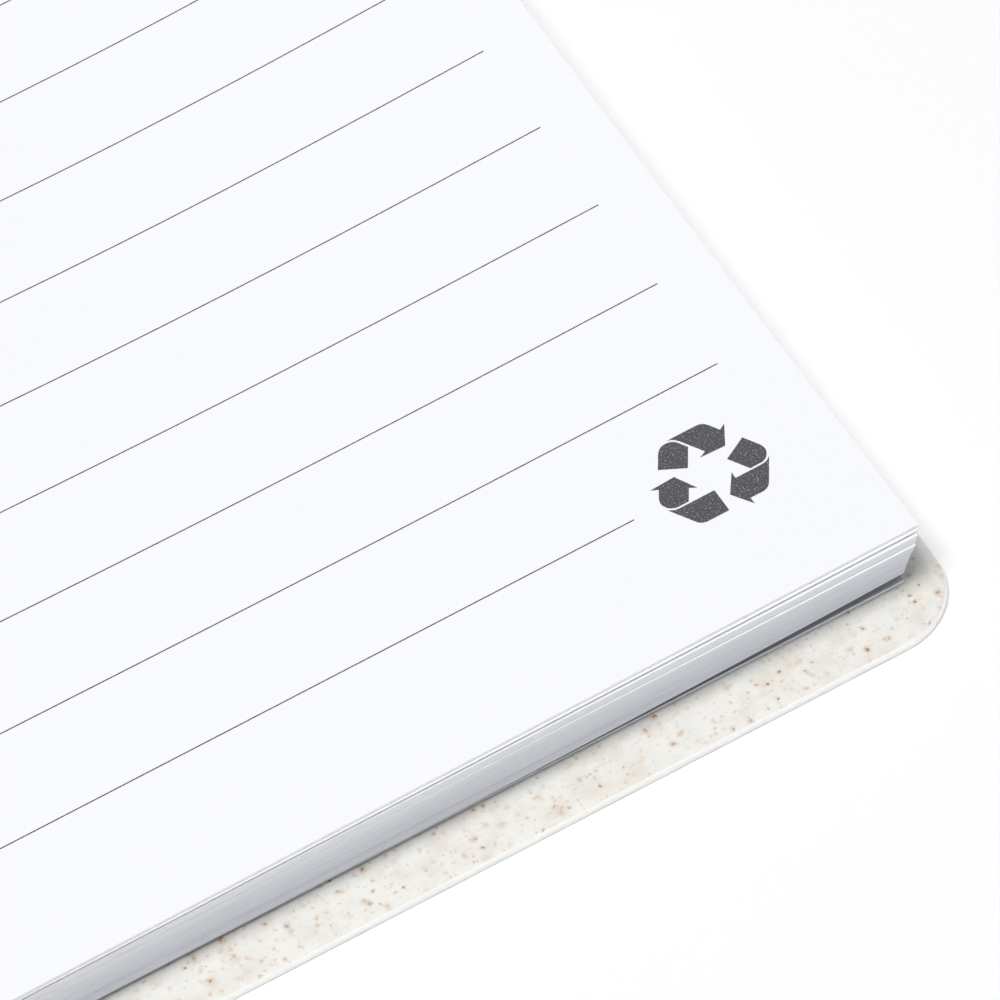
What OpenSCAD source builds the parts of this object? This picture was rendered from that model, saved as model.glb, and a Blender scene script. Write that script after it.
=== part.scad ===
// A wire-bound ruled exercise book, lying open at its first page. Its covers are moulded
// sheets of plastic filled with plant fibre, and its sheets hang on a twin-loop wire.
// Millimetres. +X runs across the page to its fore edge, +Y up the page, +Z up.
// The wire's axis lies over x = 0 along Y, and the table is z = 0.
// The front cover lies open to the left; the pages lie on the back cover, to the right.

/* [Covers] */
// Width of a cover, from its bound edge to its fore edge
cover_w = 148; // [100:1:220]
// Height of a cover, along the wire
cover_h = 210; // [140:1:300]
// Thickness of a cover
cover_t = 0.8; // [0.5:0.1:2]
// Radius of the two corners at the fore edge
corner_r = 5; // [2:0.5:12]
// Gap between the bound edges of the two covers when they lie open
cover_gap = 0.6; // [0.4:0.1:1]
// Length over which the back cover rises from the table to the wire
rise_l = 45; // [30:1:60]

/* [Pages] */
// Thickness of the sheets, as one block
block_t = 4.7; // [3:0.1:7]
// Rim of a cover past the sheets at the head and the foot
page_margin = 3.2; // [1:0.1:8]
// Rim of the back cover past the top sheet at the fore edge
fore_margin = 2; // [1.8:0.1:5]
// Height of the square part of the fore edge, at the top and at the bottom of the block
fan_square = 0.6; // [0.2:0.1:1]
// How far the sheets are slewed on the wire, at each end of their row of holes
page_play = 0.9; // [0:0.1:0.9]

/* [Wire] */
// Diameter of the wire
wire_d = 0.9; // [0.7:0.1:1]
// Room left across the closed loops beside the sheets and the two covers
ring_slack = 4.8; // [4.5:0.1:6]
// Distance from one double loop to the next
pitch = 8.47; // [8:0.01:10]
// Distance between the two wires of a double loop, middle to middle
twin_gap = 2.6; // [2:0.1:2.8]
// Bare end of the cover past the row of loops, at least
row_margin = 10; // [8:0.5:20]
// Opening in each loop, along the curve, where its tip meets the spine of the wire
seam_gap = 1.6; // [1.4:0.1:3]

/* [Holes] */
// Length of a punched hole, across the bound edge
hole_l = 4.6; // [4.6:0.1:5]
// Width of a punched hole, along the bound edge
hole_w = 4.2; // [4:0.1:5]
// Strip of a sheet or a cover between a hole and the bound edge
web = 1.25; // [1.1:0.05:1.3]

/* [Hidden] */
$fn = 48;
// Room between a cover's bound strip and the inside of the wire, across the page
web_clear = 0.3;
// How far the top sheet's holes lie out past the wire that holds them
sheet_slack = 0.05;
// Share of the wire's own curve that the sheets' edges follow
fan_share = 0.81;
// Radius of the bends at the ends of the wire's spine bars
bend_r = 1;
// The wire is drawn thinner round a loop's tip by tip_thin, and runs back by tip_lap into the loop
tip_thin = 0.02;
tip_lap = 0.2;
// Steps in the outline of the rise
rise_steps = 12;
// Overrun of a cutting shape past what it cuts
over = 1;

// The loops have room for the whole book when it is shut, and their tips rest on the table
wire_r = (block_t + 2 * cover_t + ring_slack) / 2 + wire_d / 2;
twin_half = twin_gap / 2;
axis_z = sqrt(pow(wire_r, 2) + pow(twin_half, 2)) + wire_d / 2;
loops = floor((cover_h - 2 * row_margin) / pitch) + 1;
loop_y = [for (i = [0:loops - 1]) (i - (loops - 1) / 2) * pitch];

// A cover's bound strip lies inside the loops, clear of the wire, so it stands off the table
cover_x = cover_gap / 2;
fore_x = cover_x + cover_w;
strip_reach = cover_x + web + web_clear;
cover_lift = axis_z - sqrt(pow(wire_r - wire_d / 2, 2) - pow(strip_reach, 2));
front_lean = asin(cover_lift / cover_w);

// The back cover lies flat on the table and curves up to the wire over rise_l
rise_end = cover_x + rise_l;
rise_r = (pow(rise_l, 2) + pow(cover_lift, 2)) / (2 * cover_lift);
function lift(x) = x >= rise_end ? 0 : rise_r - sqrt(pow(rise_r, 2) - pow(rise_end - x, 2));
function rise_points(steps, z) =
    [for (i = [steps:-1:0]) let (x = rise_end - rise_l * i / rise_steps) [x, lift(x) + z]];

// The sheets hang on the wire's curve, so the upper ones lie further out
function wire_x(z) = sqrt(pow(wire_r, 2) - pow(z - axis_z, 2));
bound_z = cover_lift + cover_t;
fan = fan_share * (wire_x(bound_z + block_t) - wire_x(bound_z));
hole_mid = web + hole_l / 2;
top_hole_x = wire_x(bound_z + block_t) + sheet_slack;
sheet_x = top_hole_x - hole_mid - fan;
sheet_w = fore_x - fore_margin - sheet_x - fan;
sheet_h = cover_h - 2 * page_margin;
page_turn = atan(page_play / (sheet_h / 2));

// How far a sheet lies out at height h in the block
function lay(h) = fan * min(1, max(0, (h - fan_square) / (block_t - 2 * fan_square)));
lay_heights = [-over, fan_square, block_t - fan_square, block_t + over];
function slope_points(x, z) = [for (h = lay_heights) [x + lay(h), z + h]];
function back(points) = [for (i = [len(points) - 1:-1:0]) points[i]];

// Lays an outline drawn in X and Z along the wire, over a length that is centred on y = 0
module along_wire(length) {
    translate([0, length / 2, 0])
        rotate([90, 0, 0])
            linear_extrude(height = length)
                children();
}

// A layer at height z over the table that follows the rise for some steps, and then lies flat
module risen_layer(steps, z, thickness, length) {
    under = concat(rise_points(steps, z), [[fore_x + over, z]]);
    upper = [for (p = back(under)) p + [0, thickness]];
    along_wire(length)
        polygon(concat(under, upper));
}

// One cover from its bound edge at x = 0, with round corners at its fore edge
module cover_plan() {
    square_w = cover_w - corner_r;
    translate([0, -cover_h / 2]) square([square_w, cover_h]);
    translate([0, corner_r - cover_h / 2]) square([cover_w, cover_h - 2 * corner_r]);
    for (side = [-1, 1])
        translate([square_w, side * (cover_h / 2 - corner_r)])
            circle(r = corner_r);
}

module cover_holes() {
    for (y = loop_y)
        translate([web, y - hole_w / 2, -over])
            cube([hole_l, hole_w, cover_lift + cover_t + 2 * over]);
}

module back_cover() {
    color("#EDECE5")
        difference() {
            intersection() {
                translate([cover_x, 0, -over])
                    linear_extrude(height = cover_lift + cover_t + 2 * over)
                        cover_plan();
                risen_layer(rise_steps, 0, cover_t, cover_h + 2 * over);
            }
            translate([cover_x, 0, 0])
                cover_holes();
        }
}

// A straight cover that leans from the wire down to the table
module front_cover() {
    color("#EDECE5")
        translate([-cover_x, 0, cover_lift])
            rotate([0, -front_lean, 0])
                mirror([1, 0, 0])
                    difference() {
                        linear_extrude(height = cover_t)
                            cover_plan();
                        cover_holes();
                    }
}

// The sheets' sloping edges and holes turn with the slew; their faces follow the back cover
module page_block() {
    fore_edge = slope_points(sheet_x + sheet_w, cover_t);
    bound_edge = slope_points(sheet_x, bound_z);
    hole_in = slope_points(sheet_x + web, bound_z);
    hole_out = slope_points(sheet_x + web + hole_l, bound_z);
    color("#F9FAFF")
        intersection() {
            risen_layer(rise_steps + 1, cover_t, block_t, cover_h);
            translate([top_hole_x, 0, 0])
                rotate([0, 0, page_turn])
                    translate([-top_hole_x, 0, 0])
                        difference() {
                            along_wire(sheet_h)
                                polygon(concat(fore_edge, back(bound_edge)));
                            for (y = loop_y)
                                translate([0, y, 0])
                                    along_wire(hole_w)
                                        polygon(concat(hole_out, back(hole_in)));
                        }
        }
}

// A stretch of wire bent in a circle about Z, from the X direction on
module bent_wire(r, turn, d = wire_d) {
    rotate_extrude(angle = turn)
        translate([r, 0])
            circle(d = d);
}

// Puts a stretch of wire on the loops' curve at angle a, lying along the curve: its own
// -X points on along the curve and its Y runs along the axis
module on_curve(y, a) {
    translate([0, y, axis_z])
        rotate([0, -a, 0])
            translate([wire_r, 0, 0])
                rotate([0, 90, 0])
                    children();
}

module wire_binding() {
    arc_deg = 180 / (PI * wire_r);
    spine_a = atan(bend_r / wire_r) - 90;
    loop_turn = floor(360 - (seam_gap + twin_half) * arc_deg);
    bar_l = pitch - twin_gap - 2 * bend_r;
    color("#3C3D40") {
        for (y = loop_y) {
            // The two wires of a loop, and the round tip that joins them
            for (side = [-1, 1]) {
                translate([0, y + side * twin_half, axis_z])
                    rotate([90, 0, 0])
                        rotate([0, 0, spine_a])
                            bent_wire(wire_r, loop_turn);
                on_curve(y + side * twin_half, spine_a + loop_turn)
                    rotate([0, 90, 0])
                        cylinder(h = tip_lap, d = wire_d - tip_thin);
            }
            on_curve(y, spine_a + loop_turn)
                rotate([0, 0, 90])
                    bent_wire(twin_half, 180, wire_d - tip_thin);
        }
        // The spine bars between neighbouring loops, with a bend at each end
        for (i = [0:loops - 2]) {
            start = loop_y[i] + twin_half + bend_r;
            on_curve(start, spine_a)
                rotate([0, 0, -90])
                    bent_wire(bend_r, 90);
            on_curve(start, spine_a)
                translate([bend_r, 0, 0])
                    rotate([-90, 0, 0])
                        cylinder(h = bar_l, d = wire_d);
            on_curve(start + bar_l, spine_a)
                bent_wire(bend_r, 90);
        }
    }
}

back_cover();
front_cover();
page_block();
wire_binding();
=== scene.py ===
import math
import random

import bmesh
import bpy
from mathutils import Matrix, Vector


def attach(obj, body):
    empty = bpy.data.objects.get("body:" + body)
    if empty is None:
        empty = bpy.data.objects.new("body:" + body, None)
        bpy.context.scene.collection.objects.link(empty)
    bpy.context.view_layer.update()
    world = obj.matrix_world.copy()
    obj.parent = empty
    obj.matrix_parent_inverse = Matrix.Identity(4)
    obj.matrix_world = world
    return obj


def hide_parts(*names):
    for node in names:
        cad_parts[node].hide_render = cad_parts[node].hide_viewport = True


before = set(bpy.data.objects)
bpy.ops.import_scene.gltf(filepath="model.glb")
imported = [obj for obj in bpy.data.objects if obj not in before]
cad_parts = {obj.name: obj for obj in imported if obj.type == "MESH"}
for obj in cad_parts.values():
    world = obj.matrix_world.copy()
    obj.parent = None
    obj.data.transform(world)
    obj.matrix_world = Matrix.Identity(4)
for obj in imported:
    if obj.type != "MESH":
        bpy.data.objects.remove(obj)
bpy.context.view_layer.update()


# The back cover, under the pages. It is a stiff sheet moulded from cream plastic that is
# filled with straw fibre, so tan and brown flecks show in it. Its fore corners are round,
# and holes for the wire are punched along its bound edge. All lengths are millimetres.
cover_w, cover_h, cover_t = 148, 210, 0.8
corner_r = 5
corner_steps = 16
cover_x = 0.3
cover_lift, rise_l = 1.3566, 45
rise_end = cover_x + rise_l
rise_r = (rise_l ** 2 + cover_lift ** 2) / (2 * cover_lift)
low_rim, top_rim, hole_rim = 0.07, 0.28, 0.08
fine_step, wide_step = 4, 14
hole_l, hole_w, web = 4.6, 4.2, 1.25
pitch, loops = 8.47, 23
loop_y = [(i - (loops - 1) / 2) * pitch for i in range(loops)]
hole_edges = [y + side * hole_w / 2 for y in loop_y for side in (-1, 1)]


def lift(x):
    """Height of the back cover's underside over the table, x out from the wire's axis."""
    return rise_r - math.sqrt(rise_r ** 2 - (rise_end - x) ** 2) if x < rise_end else 0


def spread(start, end, step):
    """Even stations from start to end, about a step apart."""
    count = max(1, round(abs(end - start) / step))
    return [start + (end - start) * i / count for i in range(count + 1)]


def in_hole(x, y):
    return web < x < web + hole_l and any(abs(y - middle) < hole_w / 2 for middle in loop_y)


def cover_plate(name, bend):
    """One cover, made flat from its bound edge at x = 0, then laid in place by bend."""
    square_w, square_h = cover_w - corner_r, cover_h / 2 - corner_r
    risen = spread(web + hole_l, rise_l, fine_step)
    columns = [0, web] + risen + spread(rise_l, square_w, wide_step)[1:] + [cover_w]
    rows = [-cover_h / 2, -square_h] + hole_edges + [square_h, cover_h / 2]
    plate = bmesh.new()
    made = {}

    def corner(x, y):
        key = (round(x, 4), round(y, 4))
        if key not in made:
            made[key] = plate.verts.new((x, y, 0))
        return made[key]

    for x0, x1 in zip(columns, columns[1:]):
        for y0, y1 in zip(rows, rows[1:]):
            past_square = x0 >= square_w and (y0 < -square_h or y1 > square_h)
            if not past_square and not in_hole((x0 + x1) / 2, (y0 + y1) / 2):
                plate.faces.new([corner(x0, y0), corner(x1, y0), corner(x1, y1), corner(x0, y1)])
    for side in (-1, 1):
        arc = []
        for i in range(corner_steps + 1):
            a = math.radians(90 * i / corner_steps)
            arc.append((
                square_w + corner_r * math.cos(a), side * (square_h + corner_r * math.sin(a))))
        for p, q in zip(arc, arc[1:]):
            around = [corner(square_w, side * square_h), corner(*p), corner(*q)]
            plate.faces.new(around if side > 0 else around[::-1])
    outline = [e for e in plate.edges if e.is_boundary]
    under = [f for f in plate.faces]
    copied = bmesh.ops.duplicate(plate, geom=plate.verts[:] + plate.edges[:] + under)
    raised = copied["vert_map"]
    for v in {raised[v] for f in under for v in f.verts}:
        v.co.z = cover_t
    top_rims, low_rims, hole_rims = [], [], []
    for e in outline:
        a, b = e.verts
        wall = plate.faces.new([a, b, raised[b], raised[a]])
        middle = (a.co + b.co) / 2
        of_hole = web - 0.01 < middle.x < web + hole_l + 0.01 and abs(middle.y) < square_h
        for edge in wall.edges:
            heights = [v.co.z for v in edge.verts]
            if heights[0] == heights[1]:
                rims = hole_rims if of_hole else top_rims if heights[0] > 0 else low_rims
                rims.append(edge)
    bmesh.ops.reverse_faces(plate, faces=under)
    bmesh.ops.recalc_face_normals(plate, faces=plate.faces[:])
    for rims, radius, steps in (
            (hole_rims, hole_rim, 2), (low_rims, low_rim, 2), (top_rims, top_rim, 5)):
        rims = [edge for edge in rims if edge.is_valid]
        bmesh.ops.bevel(
            plate, geom=rims, offset=radius, segments=steps, profile=0.5, affect="EDGES")
    for v in plate.verts:
        v.co = bend(*v.co)
    bmesh.ops.recalc_face_normals(plate, faces=plate.faces[:])
    return solid_object(name, plate)


def solid_object(name, shape, sharp=35):
    """Turns a shape drawn in millimetres into a smooth-shaded object in metres."""
    bmesh.ops.scale(shape, vec=(0.001, 0.001, 0.001), verts=shape.verts[:])
    mesh = bpy.data.meshes.new(name)
    shape.to_mesh(mesh)
    shape.free()
    mesh.shade_smooth()
    mesh.set_sharp_from_angle(angle=math.radians(sharp))
    made = bpy.data.objects.new(name, mesh)
    bpy.context.scene.collection.objects.link(made)
    even = made.modifiers.new("even_shading", "WEIGHTED_NORMAL")
    even.keep_sharp = True
    return made


class Finish:
    """A material under construction: its nodes, and its coordinates in millimetres."""

    def __init__(self, name, roughness, specular=0.5):
        self.material = bpy.data.materials.new(name)
        self.material.use_nodes = True
        self.tree = self.material.node_tree
        self.shader = self.tree.nodes["Principled BSDF"]
        self.shader.inputs["Roughness"].default_value = roughness
        self.shader.inputs["Specular IOR Level"].default_value = specular
        coordinates = self.tree.nodes.new("ShaderNodeTexCoord")
        self.place = self.node(
            "ShaderNodeVectorMath", {0: coordinates.outputs["Object"], 3: 1000},
            operation="SCALE").outputs[0]
        upright = self.node("ShaderNodeSeparateXYZ", {0: coordinates.outputs["Normal"]}).outputs[2]
        self.flatness = self.math("ABSOLUTE", upright)

    def node(self, kind, inputs, **settings):
        made = self.tree.nodes.new(kind)
        for key, value in settings.items():
            setattr(made, key, value)
        for key, value in inputs.items():
            if isinstance(value, bpy.types.NodeSocket):
                self.tree.links.new(value, made.inputs[key])
            else:
                made.inputs[key].default_value = value
        return made

    def math(self, operation, a, b=0.0):
        return self.node("ShaderNodeMath", {0: a, 1: b}, operation=operation).outputs[0]

    def turned(self, degrees, stretch):
        """The coordinates turned about Z and stretched, for grain that lies one way."""
        turn = (0, 0, math.radians(degrees))
        return self.node(
            "ShaderNodeMapping",
            {"Vector": self.place, "Rotation": turn, "Scale": stretch}).outputs[0]

    def noise(self, scale, detail=2.0, place=None, roughness=0.5):
        return self.node("ShaderNodeTexNoise", {
            "Vector": place or self.place, "Scale": scale, "Detail": detail,
            "Roughness": roughness})

    def ramp(self, value, low, high, to_low=0.0, to_high=1.0):
        return self.node(
            "ShaderNodeMapRange",
            {"Value": value, 1: low, 2: high, 3: to_low, 4: to_high},
            interpolation_type="SMOOTHSTEP").outputs[0]

    def mix(self, amount, a, b):
        return self.node(
            "ShaderNodeMix", {0: amount, 6: a, 7: b}, data_type="RGBA").outputs[2]

    def bump(self, height, depth, strength):
        made = self.node(
            "ShaderNodeBump",
            {"Height": height, "Distance": depth / 1000, "Strength": strength})
        self.tree.links.new(made.outputs[0], self.shader.inputs["Normal"])

    def colour(self, value):
        self.tree.links.new(value, self.shader.inputs["Base Color"])


fibre_plastic = Finish("fibre_plastic", roughness=0.42)
cream = (0.870, 0.845, 0.800, 1)
deep_cream = (0.795, 0.750, 0.692, 1)
# A pale cream for the side-facing rims, painted light
painted_rim_light_cream = (0.94, 0.915, 0.875, 1)
straw = (0.62, 0.45, 0.28, 1)
amber = (0.42, 0.20, 0.09, 1)
bark = (0.14, 0.07, 0.04, 1)
stain = (0.62, 0.45, 0.33, 1)
# The second number is the strength of a painted glow on the rims
shake, painted_rim_glow = 0.38, 0.26
shaken = fibre_plastic.node(
    "ShaderNodeVectorMath",
    {0: fibre_plastic.noise(3.2, 1).outputs["Color"], 1: (0.5, 0.5, 0.5)},
    operation="SUBTRACT").outputs[0]
shaken = fibre_plastic.node(
    "ShaderNodeVectorMath", {0: shaken, 3: shake}, operation="SCALE").outputs[0]
shaken = fibre_plastic.node(
    "ShaderNodeVectorMath", {0: shaken, 1: fibre_plastic.place}, operation="ADD").outputs[0]
body = fibre_plastic.mix(
    fibre_plastic.ramp(fibre_plastic.noise(0.55, 4, roughness=0.6).outputs[0], 0.38, 0.72), cream,
    deep_cream)
# Pale straws that lie every way, then specks with a soft stain round each
for degrees, stretch, reach, depth in (
        (12, (0.35, 1.5, 1.5), 0.17, 0.42), (75, (0.4, 1.7, 1.7), 0.16, 0.38),
        (-38, (0.3, 1.6, 1.6), 0.16, 0.38)):
    straws = fibre_plastic.node(
        "ShaderNodeTexVoronoi", {"Vector": fibre_plastic.turned(degrees, stretch), "Scale": 1.0})
    chance = fibre_plastic.node("ShaderNodeSeparateColor", {0: straws.outputs["Color"]}).outputs[0]
    shown = fibre_plastic.ramp(chance, 0.5, 0.9, 0, depth)
    mask = fibre_plastic.ramp(straws.outputs["Distance"], reach * 0.2, reach, 1, 0)
    body = fibre_plastic.mix(fibre_plastic.math("MULTIPLY", mask, shown), body, straw)
for scale, size, share, spread_out, dark in (
        (1.0, 0.17, 0.15, 0.50, amber), (1.55, 0.18, 0.25, 0.30, straw),
        (0.75, 0.12, 0.20, 0.40, bark), (1.3, 0.16, 0.30, 0.45, amber),
        (2.6, 0.22, 0.35, 0.20, stain)):
    specks = fibre_plastic.node("ShaderNodeTexVoronoi", {"Vector": shaken, "Scale": scale})
    chance = fibre_plastic.node("ShaderNodeSeparateColor", {0: specks.outputs["Color"]})
    radius = fibre_plastic.ramp(chance.outputs[0], share, 1, 0.001, size)
    away = fibre_plastic.math("DIVIDE", specks.outputs["Distance"], radius)
    body = fibre_plastic.mix(fibre_plastic.ramp(away, 0.6, 2.8, spread_out, 0), body, stain)
    depth = fibre_plastic.ramp(chance.outputs[1], 0, 1, 0.35, 0.95)
    core = fibre_plastic.math("MULTIPLY", fibre_plastic.ramp(away, 0.45, 1.1, 1, 0), depth)
    body = fibre_plastic.mix(core, body, dark)
# Side-facing rims are painted a pale cream without flecks: painted light on the rims
painted_rim_light_share = fibre_plastic.ramp(fibre_plastic.flatness, 0.3, 0.97, 0.8, 0)
fibre_plastic.colour(fibre_plastic.mix(painted_rim_light_share, body, painted_rim_light_cream))
fibre_plastic.bump(fibre_plastic.noise(2.2, 4).outputs[0], 0.02, 0.35)
fibre_plastic.shader.inputs["Subsurface Weight"].default_value = 0.85
fibre_plastic.shader.inputs["Subsurface Radius"].default_value = (1.0, 0.85, 0.7)
fibre_plastic.shader.inputs["Subsurface Scale"].default_value = 0.0012
# Painted light: the side-facing rims give off a weak glow, though no lamp is there
fibre_plastic.shader.inputs["Emission Color"].default_value = (1.0, 0.985, 0.96, 1)
fibre_plastic.tree.links.new(
    fibre_plastic.math("MULTIPLY", painted_rim_light_share, painted_rim_glow),
    fibre_plastic.shader.inputs["Emission Strength"])


def dress(piece, finish, body_name, node):
    """Gives a piece its material, its body and the node that it stands for."""
    piece.data.materials.append(finish.material)
    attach(piece, body_name)
    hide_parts(node)


def curved_up(x, y, z):
    """A point of the flat sheet, laid on the curve that rises to the wire."""
    return cover_x + x, y, lift(cover_x + x) + z


back_plate = cover_plate("back_cover_sheet", curved_up)
dress(back_plate, fibre_plastic, "book", "back_cover")


# The front cover, a second moulded sheet like the back one. It lies open to the left, stays
# straight, and leans from the wire down to the table on its fore edge.
lean = math.asin(cover_lift / cover_w)


def opened(x, y, z):
    """A point of the flat sheet, laid on the slope from the wire to the table."""
    return (
        -cover_x - x * math.cos(lean) - z * math.sin(lean), y,
        cover_lift - x * math.sin(lean) + z * math.cos(lean))


front_plate = cover_plate("front_cover_sheet", opened)
dress(front_plate, fibre_plastic, "front", "front_cover")


# The binding, one steel wire with a dark nylon coat. It is bent to and fro into double loops
# and closed round the holes, so each loop's tip meets the spine, and the loops carry the book.
wire_d, wire_r = 0.9, 6.0
twin_half, bend_r = 1.3, 1.0
seam_gap = 1.6
axis_z = math.hypot(wire_r, twin_half) + wire_d / 2
spine_a = math.degrees(math.atan(bend_r / wire_r)) - 90
loop_turn = math.floor(360 - (seam_gap + twin_half) * 180 / (math.pi * wire_r))
wire_sides = 12
loop_step, tip_step, bend_step = 8, 20, 22.5


def on_curve(y, degrees, along=0.0):
    """A point on the loops' curve, or moved along the curve from it."""
    a = math.radians(degrees)
    round_x, round_z = math.cos(a), math.sin(a)
    return Vector((
        wire_r * round_x - along * round_z, y,
        axis_z + wire_r * round_z + along * round_x))


def loop_path(y):
    """One double loop: up one wire, round the tip, and down the other wire."""
    path = [on_curve(y - twin_half, spine_a + a) for a in spread(0, loop_turn, loop_step)]
    for t in spread(180, 0, tip_step)[1:-1]:
        a = math.radians(t)
        path.append(on_curve(
            y + twin_half * math.cos(a), spine_a + loop_turn, twin_half * math.sin(a)))
    path += [on_curve(y + twin_half, spine_a + a) for a in spread(loop_turn, 0, loop_step)]
    return path


def bend_path(y, side):
    """The bend between a loop's wire and the spine bar on that side of it."""
    path = []
    for t in spread(0, 90, bend_step)[1:]:
        a = math.radians(t)
        path.append(on_curve(
            y + side * bend_r * (1 - math.cos(a)), spine_a, -bend_r * math.sin(a)))
    return path


def tube(path, thickness, sides):
    """A round bar swept along a path, with its two ends closed."""
    bar = bmesh.new()
    rings = []
    way = (path[1] - path[0]).normalized()
    side = way.cross(Vector((0, 1, 0)))
    side = side.normalized() if side.length > 0.1 else way.cross(Vector((1, 0, 0))).normalized()
    for i, point in enumerate(path):
        way = (path[min(i + 1, len(path) - 1)] - path[max(i - 1, 0)]).normalized()
        side = (side - way * side.dot(way)).normalized()
        up = way.cross(side)
        ring = []
        for k in range(sides):
            a = 2 * math.pi * k / sides
            outward = side * math.cos(a) + up * math.sin(a)
            ring.append(bar.verts.new(point + outward * thickness / 2))
        rings.append(ring)
    for low, high in zip(rings, rings[1:]):
        for k in range(sides):
            n = (k + 1) % sides
            bar.faces.new([low[k], low[n], high[n], high[k]])
    bar.faces.new(rings[0][::-1])
    bar.faces.new(rings[-1])
    bmesh.ops.recalc_face_normals(bar, faces=bar.faces[:])
    return bar


route = []
for i, y in enumerate(loop_y):
    if i > 0:
        route += bend_path(y - twin_half, -1)[::-1]
    route += loop_path(y)
    if i < loops - 1:
        route += bend_path(y + twin_half, 1)
wire = solid_object("wire_loops", tube(route, wire_d, wire_sides), sharp=60)
nylon_coat = Finish("nylon_coat", roughness=0.38)
coat_dark, coat_pale = (0.040, 0.042, 0.047, 1), (0.052, 0.054, 0.060, 1)
dull = nylon_coat.ramp(nylon_coat.noise(0.5, 4).outputs[0], 0.35, 0.65, 0.32, 0.46)
nylon_coat.tree.links.new(dull, nylon_coat.shader.inputs["Roughness"])
nylon_coat.colour(nylon_coat.mix(
    nylon_coat.ramp(nylon_coat.noise(0.8, 3).outputs[0], 0.3, 0.7), coat_dark, coat_pale))
nylon_coat.bump(nylon_coat.noise(3, 3).outputs[0], 0.01, 0.3)
dress(wire, nylon_coat, "book", "wire_binding")


# The pages, about 44 loose sheets of white paper. They hang on the wire's curve, so the upper
# ones lie further out, and they are slewed a little on it. The top sheets are wavy and lie in
# small groups, and the corner of the block stands a little off the last sheets.
block_t = 4.7
sheet_x, sheet_w, sheet_h = 0.914, 143.806, 203.6
turn_x, page_turn = 6.044, math.radians(0.50653)
fan, fan_square = 1.580, 0.6
right_margin, foot_margin = 4.18, 10.66
wave_length, twist_h, swell_h = 57.14, 1.34, 1.15
held_flat, wave_free = 8, 50
corner_lift, lift_in, lift_up = 0.85, 20, 25
fore_back = 1.75
foot_run = 44
row_step = 3.5
sheet_columns = [0, web] + spread(web + hole_l, sheet_w, fine_step)
sheet_rows = (
    spread(-sheet_h / 2, hole_edges[0], row_step)[:-1] + hole_edges
    + spread(hole_edges[-1], sheet_h / 2, row_step)[1:])


def smooth_step(low, high, value):
    t = min(1, max(0, (value - low) / (high - low)))
    return t * t * (3 - 2 * t)


def wave(s, y):
    """How far the top sheet stands over a flat one, s out from its bound edge."""
    u = (s - sheet_w + right_margin) / wave_length
    v = (y + sheet_h / 2 - foot_margin) / wave_length
    past_foot = (v + math.sqrt(v ** 2 + 0.004)) / 2
    twist = twist_h * past_foot / (1 + (v / 2) ** 6) * math.sin(math.pi * u)
    twist /= 1 + (u / 1.3) ** 6
    swell = swell_h * math.sin(math.pi * v / 2.5) ** 2
    return smooth_step(held_flat, wave_free, s) * (twist + swell)


def settled(s, y):
    """The same for the firm block under the loose sheets, which can dip but not rise."""
    height = wave(s, y)
    return (height - math.sqrt(height ** 2 + 0.0025)) / 2


def corner_gap(s, y):
    """How far the block stands off the last sheets, most at its foot corner."""
    from_foot = max(0, y + sheet_h / 2)
    return corner_lift * math.exp((s - sheet_w) / lift_in - from_foot / lift_up)


def last_gap(s, y):
    """The last sheets' own corner stands off the cover by a hair too."""
    return corner_gap(s, y) / 16


def lay(h):
    """How far out a sheet lies at height h in the block, as it hangs on the wire."""
    return fan * min(1, max(0, (h - fan_square) / (block_t - 2 * fan_square)))


def fore_edge(h):
    """How far the fore edge at height h stays behind the top sheet's."""
    share = max(h, 0) / block_t
    return -fore_back * (1 - 0.62 * share - 0.38 * share ** 4)


def page_point(s, y, h, rise=0.0, out=0.0):
    """A point of the sheet at height h in the block, in the book's own place."""
    x = sheet_x + lay(h) + s + out - turn_x
    turned_x = turn_x + x * math.cos(page_turn) - y * math.sin(page_turn)
    turned_y = x * math.sin(page_turn) + y * math.cos(page_turn)
    return Vector((turned_x, turned_y, lift(turned_x) + cover_t + h + rise))


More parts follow.
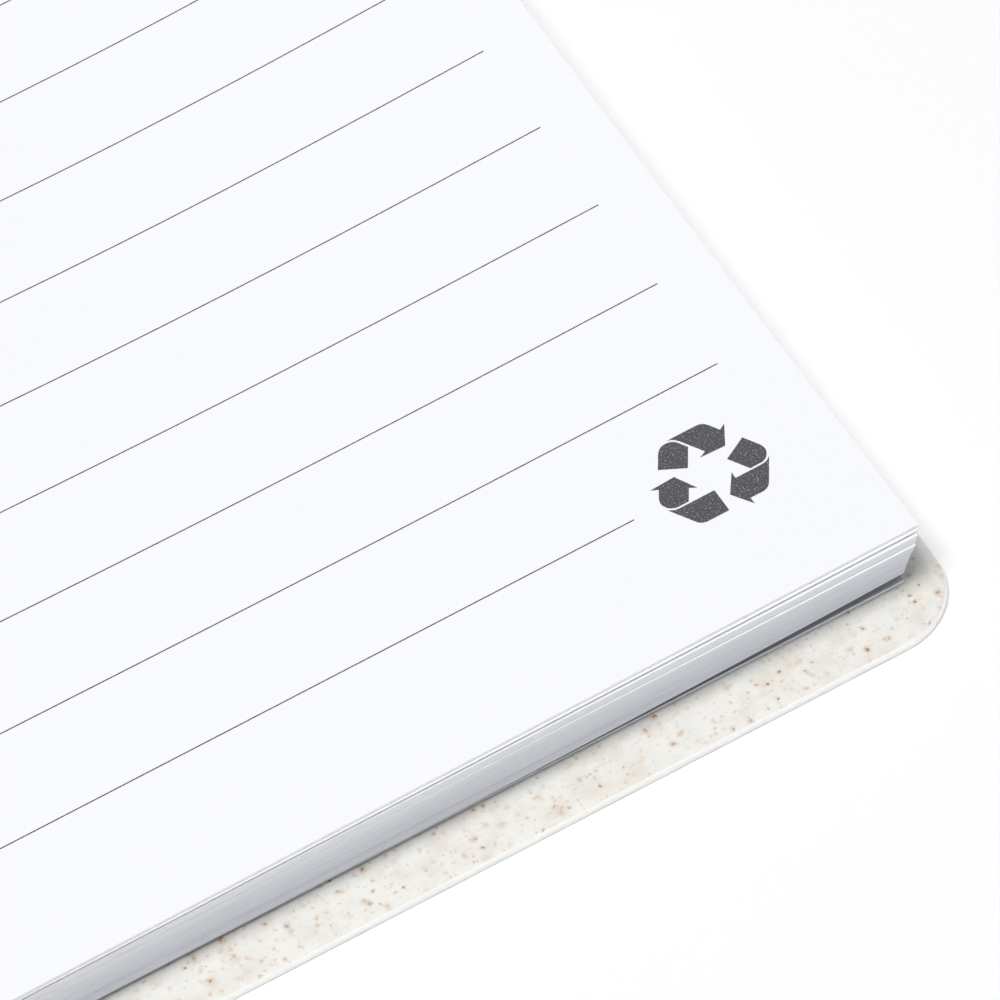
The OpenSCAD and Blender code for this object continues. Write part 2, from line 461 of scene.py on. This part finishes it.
def sheaf(name, bottom, top, count, low_rise, high_rise, low_foot, high_foot, loose, seed):
    """A group of sheets as one closed stack, with each sheet's own edge on its sides. A foot is
    how far the foot edge stands out past the top sheet's, at the corner and a foot_run from it."""
    stack = bmesh.new()
    shift = random.Random(seed)
    levels = []
    for i in range(count):
        fore, slip, slew = [loose * shift.uniform(-1, 1) for _ in range(3)]
        for part in (i, i + 1):
            levels.append((part / count, (i + 0.5) / count, fore, slip * 0.7, slew))
    made = {}

    def foot_at(ends, s):
        return ends[0] + (ends[1] - ends[0]) * (sheet_w - s) / foot_run

    def corner(s, y, n):
        key = (round(s, 4), round(y, 4), n)
        if key not in made:
            part, middle, fore, slip, slew = levels[n]
            h = bottom + (top - bottom) * part
            rise = low_rise(s, y) * (1 - part) + high_rise(s, y) * part
            out, down = 0, 0
            if s > sheet_w - 0.01:
                out = fore_edge(bottom + (top - bottom) * middle) - (lay(h) - fan) + fore
            if abs(y) > sheet_h / 2 - 0.01:
                down = foot_at(low_foot, s) * (1 - middle) + foot_at(high_foot, s) * middle
                down += slip + slew * s / sheet_w
            made[key] = stack.verts.new(page_point(s, y - down, h, rise, out))
        return made[key]

    last = len(levels) - 1
    cells = [
        (s0, s1, y0, y1)
        for s0, s1 in zip(sheet_columns, sheet_columns[1:])
        for y0, y1 in zip(sheet_rows, sheet_rows[1:])
        if not in_hole((s0 + s1) / 2, (y0 + y1) / 2)]
    walls = {}
    for s0, s1, y0, y1 in cells:
        around = [(s0, y0), (s1, y0), (s1, y1), (s0, y1)]
        stack.faces.new([corner(*p, last) for p in around])
        stack.faces.new([corner(*p, 0) for p in around[::-1]])
        for p, q in zip(around, around[1:] + around[:1]):
            if (q, p) in walls:
                del walls[(q, p)]
            else:
                walls[(p, q)] = True
    for p, q in walls:
        for n in range(last):
            stack.faces.new([corner(*p, n), corner(*q, n), corner(*q, n + 1), corner(*p, n + 1)])
    return solid_object(name, stack, sharp=40)


def follow(share):
    """The rise of a sheet that follows the top one by a share, down to the firm block."""
    return lambda s, y: settled(s, y) + share * (wave(s, y) - settled(s, y))


paper = Finish("page_paper", roughness=0.82, specular=0.3)
paper_white = (0.945, 0.950, 0.985, 1)
paper_fibre = (0.932, 0.938, 0.975, 1)
# The palest edge grey, for painted light at the top of the block's walls
painted_light_edge_top = (0.965, 0.975, 1.0, 1)
# The greys of the cut edges are partly the paper edges' own grey and partly painted shade between
# the sheets
edge_pale_shaded = (0.825, 0.85, 0.91, 1)
edge_shade = (0.73, 0.76, 0.83, 1)
gap_shade = (0.20, 0.22, 0.26, 1)
cloudy = paper.noise(1.6, 5, roughness=0.75).outputs[0]
sheet_colour = paper.mix(paper.ramp(cloudy, 0.35, 0.7), paper_white, paper_fibre)
streaks = paper.noise(1.0, 3, place=paper.turned(0, (0.08, 0.08, 10)), roughness=0.6).outputs[0]
# Faces that stand upright take these greys: the edges' own tone and painted shade on the walls
painted_side_shade_share = paper.ramp(paper.flatness, 0.3, 0.8, 1, 0)
cut_edge_and_painted_shade = paper.mix(paper.ramp(streaks, 0.3, 0.7), edge_pale_shaded, edge_shade)
# The walls are painted lighter towards the top of the block and darker towards its bottom: painted
# light and shade
height = paper.node("ShaderNodeSeparateXYZ", {0: paper.place}).outputs[2]
cut_edge_and_painted_shade = paper.mix(paper.ramp(height, 2.4, 5.5), cut_edge_and_painted_shade, painted_light_edge_top)
# The faces inside the gap at the bottom lie in deep shade, the upper one most
in_gap = paper.math(
    "MULTIPLY", paper.ramp(height, 2.2, 2.4, 1, 0), paper.ramp(height, 1.13, 1.18, 0.35, 0.9))
sheet_colour = paper.mix(in_gap, sheet_colour, gap_shade)
paper.colour(paper.mix(painted_side_shade_share, sheet_colour, cut_edge_and_painted_shade))
paper.bump(paper.noise(2.5, 4).outputs[0], 0.006, 0.25)

# Each group's name, heights, number of sheets, rise and foot below and above, and how loose
# its edges are drawn, from which seed
groups = (
    ("last_sheets", 0.1, 0.27, 2, last_gap, last_gap,
     (0.22, -0.14), (0.22, -0.14), 0.02, 11),
    ("page_stack", 0.38, 3.68, 30, corner_gap, settled,
     (0.32, 0.04), (0.55, 0.20), 0.014, 5),
    ("upper_sheets", 3.7, 4.26, 5, follow(0.25), follow(0.75),
     (0.42, 0.17), (0.40, 0.17), 0.012, 8),
    ("second_sheet", 4.37, 4.48, 1, follow(0.88), follow(0.92),
     (0.20, 0.12), (0.20, 0.12), 0.02, 3),
    ("top_sheets", 4.5, 4.7, 2, follow(1.0), follow(1.0),
     (0.03, 0.03), (0, 0), 0.0, 2))
for name, bottom, top, count, low_rise, high_rise, low_foot, high_foot, loose, seed in groups:
    sheets = sheaf(name, bottom, top, count, low_rise, high_rise, low_foot, high_foot, loose, seed)
    dress(sheets, paper, "book", "page_block")


# The print on the first page: thin grey rules 8 mm apart, and in the foot margin a small
# public sign of three arrows that chase each other. It is ink, a film on the top sheet.
rule_gap, rule_w = 8, 0.08
rule_count = 23
ink_film = 0.02
rule_start = 12
rule_end = sheet_w - right_margin
lowest_rule = -sheet_h / 2 + foot_margin
sign_end = rule_end - 10.71


def on_page(s, y):
    """A point of the ink on the first page, s out from its bound edge."""
    return page_point(s, y, block_t, wave(s, y) + ink_film)


rules = bmesh.new()
for n in range(rule_count):
    y = lowest_rule + n * rule_gap
    end = sign_end if n == 0 else rule_end
    stations = [s for s in sheet_columns if rule_start < s < end]
    pairs = [
        [rules.verts.new(on_page(s, y + side * rule_w / 2)) for side in (-1, 1)]
        for s in [rule_start] + stations + [end]]
    for (a, b), (c, d) in zip(pairs, pairs[1:]):
        rules.faces.new([a, c, d, b])
rule_ink = Finish("rule_ink", roughness=0.8, specular=0.2)
full_ink, thin_ink = (0.045, 0.045, 0.05, 1), (0.10, 0.10, 0.11, 1)
rule_ink.colour(rule_ink.mix(
    rule_ink.ramp(rule_ink.noise(4, 2).outputs[0], 0.3, 0.7), full_ink, thin_ink))
ruled_lines = solid_object("ruled_lines", rules)
dress(ruled_lines, rule_ink, "book", "page_block")

sign_s, sign_y = rule_end - 4.81, lowest_rule + 0.56
band_w, barb_w, head_l = 1.94, 0.56, 0.95
fold_y, slit = 3.82, 0.15
start_out, neck_in = Vector((-2.68, 2.08)), Vector((0.585, 1.66))
steep = math.sqrt(0.75)
up_way, down_way = Vector((0.5, steep)), Vector((0.5, -steep))
start_in = start_out - Vector((-steep, 0.5)) * band_w
neck_out = neck_in + Vector((steep, 0.5)) * band_w


def bow(start, through, end, steps=8):
    """A soft corner of the sign, from start to end, drawn towards through."""
    return [
        start * (1 - t) ** 2 + through * 2 * t * (1 - t) + end * t ** 2
        for t in (i / steps for i in range(steps + 1))]


def folded_over(inner, outer):
    """The end of the band that lies over the fold, which runs out to a point."""
    fold_in = inner - down_way * (fold_y - inner.y) / steep
    fold_out = outer - down_way * (fold_y - outer.y) / steep
    point = bow(fold_in + down_way * 0.6, fold_in + down_way * 0.1, fold_in - Vector((0.4, 0)))
    return point + bow(fold_out - Vector((0.5, 0)), fold_out, fold_out + down_way * 0.5)


def folded_under(outer, inner, over_inner):
    """The end of the band that comes out from under the fold, with a round shoulder."""
    lap = over_inner - Vector((steep, 0.5)) * slit
    meet = inner + up_way * ((lap.x - inner.x) + (lap.y - inner.y) / math.sqrt(3))
    fold_in = over_inner - down_way * (fold_y - over_inner.y) / steep
    top = fold_in - Vector((0.6, 0.16))
    shoulder = outer + up_way * ((fold_y - 0.75 - outer.y) / steep)
    return [meet] + bow(meet - down_way * 0.85, fold_in - Vector((0.2, 0.14)), top) + bow(
        top - Vector((0.06, 0.01)), shoulder + up_way * 0.7, shoulder)


def mirrored(points):
    """The same points with left and right changed over."""
    return [Vector((-p.x, p.y)) for p in points]


sign = bmesh.new()
for turn, tail_over in ((0, False), (120, True), (240, False)):
    barbs = [
        neck_out + Vector((steep, 0.5)) * barb_w - down_way * 0.03,
        (neck_in + neck_out) / 2 + down_way * head_l,
        neck_in - Vector((steep, 0.5)) * barb_w - down_way * 0.03]
    if tail_over:
        tail = [start_out, start_in] + mirrored(folded_over(*mirrored([start_in, start_out])))
        head = [neck_out] + barbs + [neck_in] + mirrored(
            folded_under(*mirrored([neck_out, neck_in, start_in])))
    else:
        tail = [start_out, start_in] + folded_under(start_out, start_in, neck_in)
        head = [neck_out] + barbs + [neck_in] + folded_over(neck_in, neck_out)
    spin = Matrix.Rotation(math.radians(turn), 2)
    for outline in (tail, head):
        placed = [spin @ p for p in outline]
        sign.faces.new([sign.verts.new(on_page(sign_s + p.x, sign_y + p.y)) for p in placed])
for face in sign.faces:
    face.normal_update()
    if face.normal.z < 0:
        face.normal_flip()
bmesh.ops.triangulate(sign, faces=sign.faces[:])
sign_ink = Finish("sign_ink", roughness=0.75, specular=0.2)
sign_black, sign_worn = (0.085, 0.086, 0.093, 1), (0.42, 0.42, 0.44, 1)
grains = sign_ink.noise(8, 2, roughness=0.7).outputs[0]
sign_ink.colour(sign_ink.mix(sign_ink.ramp(grains, 0.54, 0.74), sign_black, sign_worn))
printed_sign = solid_object("printed_sign", sign)
dress(printed_sign, sign_ink, "book", "page_block")


# The studio: a plain white table, a large soft lamp nearly overhead, and a pale dome. The
# camera looks down on the foot corner of the page.
table_half, table_glow = 1500, 0.01
floor_shape = bmesh.new()
bmesh.ops.create_grid(floor_shape, x_segments=1, y_segments=1, size=table_half)
floor_object = solid_object("floor", floor_shape)
white_table = Finish("white_table", roughness=0.9, specular=0.1)
table_cool, table_plain = (0.968, 0.972, 0.972, 1), (0.976, 0.976, 0.976, 1)
white_table.colour(white_table.mix(
    white_table.ramp(white_table.noise(0.01, 2).outputs[0], 0.3, 0.7), table_cool, table_plain))
sight = white_table.node("ShaderNodeLightPath", {})
seen = white_table.math("MAXIMUM", sight.outputs["Is Camera Ray"], sight.outputs["Is Glossy Ray"])
seen = white_table.math("MAXIMUM", seen, sight.outputs["Is Transmission Ray"])
glow = white_table.node("ShaderNodeEmission", {
    "Color": (1, 1, 1, 1), "Strength": white_table.math("MULTIPLY", seen, table_glow)})
both = white_table.node(
    "ShaderNodeAddShader", {0: white_table.shader.outputs[0], 1: glow.outputs[0]})
output = white_table.tree.nodes["Material Output"]
white_table.tree.links.new(both.outputs[0], output.inputs["Surface"])
floor_object.data.materials.append(white_table.material)

lamp_data = bpy.data.lights.new("soft_lamp", "AREA")
lamp_data.shape = "DISK"
lamp_data.size = 1.62
lamp_data.energy = 62.6
lamp_data.color = (1, 0.99, 0.97)
lamp = bpy.data.objects.new("soft_lamp", lamp_data)
lamp.location = (-0.5, -0.23, 2.7)
aim = Vector((0.08, -0.1, 0)) - lamp.location
lamp.rotation_euler = aim.to_track_quat("-Z", "Y").to_euler()
bpy.context.scene.collection.objects.link(lamp)

world = bpy.data.worlds.new("pale_dome")
bpy.context.scene.world = world
world.use_nodes = True
dome = world.node_tree
background = dome.nodes["Background"]
paths = dome.nodes.new("ShaderNodeLightPath")
previous = paths.outputs["Is Camera Ray"]
for ray in ("Is Glossy Ray", "Is Transmission Ray"):
    either = dome.nodes.new("ShaderNodeMath")
    either.operation = "MAXIMUM"
    dome.links.new(previous, either.inputs[0])
    dome.links.new(paths.outputs[ray], either.inputs[1])
    previous = either.outputs[0]
tint = dome.nodes.new("ShaderNodeMix")
tint.data_type = "RGBA"
tint.inputs[6].default_value = (0.26, 0.27, 0.285, 1)
tint.inputs[7].default_value = (1, 1, 1, 1)
dome.links.new(previous, tint.inputs[0])
dome.links.new(tint.outputs[2], background.inputs["Color"])
background.inputs["Strength"].default_value = 1

view = bpy.data.cameras.new("camera")
view.lens = 252
view.sensor_width = 36
camera = bpy.data.objects.new("camera", view)
azimuth, elevation, roll = math.radians(18.2345), math.radians(51.8034), math.radians(12.382)
looks_at, distance = Vector((0.125723, -0.083788, 0.0055)), 0.449925
ahead = Vector((
    math.sin(azimuth) * math.cos(elevation), math.cos(azimuth) * math.cos(elevation),
    -math.sin(elevation)))
camera.location = looks_at - ahead * distance
level = ahead.to_track_quat("-Z", "Y").to_matrix()
camera.rotation_euler = (level @ Matrix.Rotation(-roll, 3, "Z")).to_euler()
view.clip_start = 0.01
bpy.context.scene.collection.objects.link(camera)
bpy.context.scene.camera = camera
bpy.context.scene.view_settings.view_transform = "Standard"
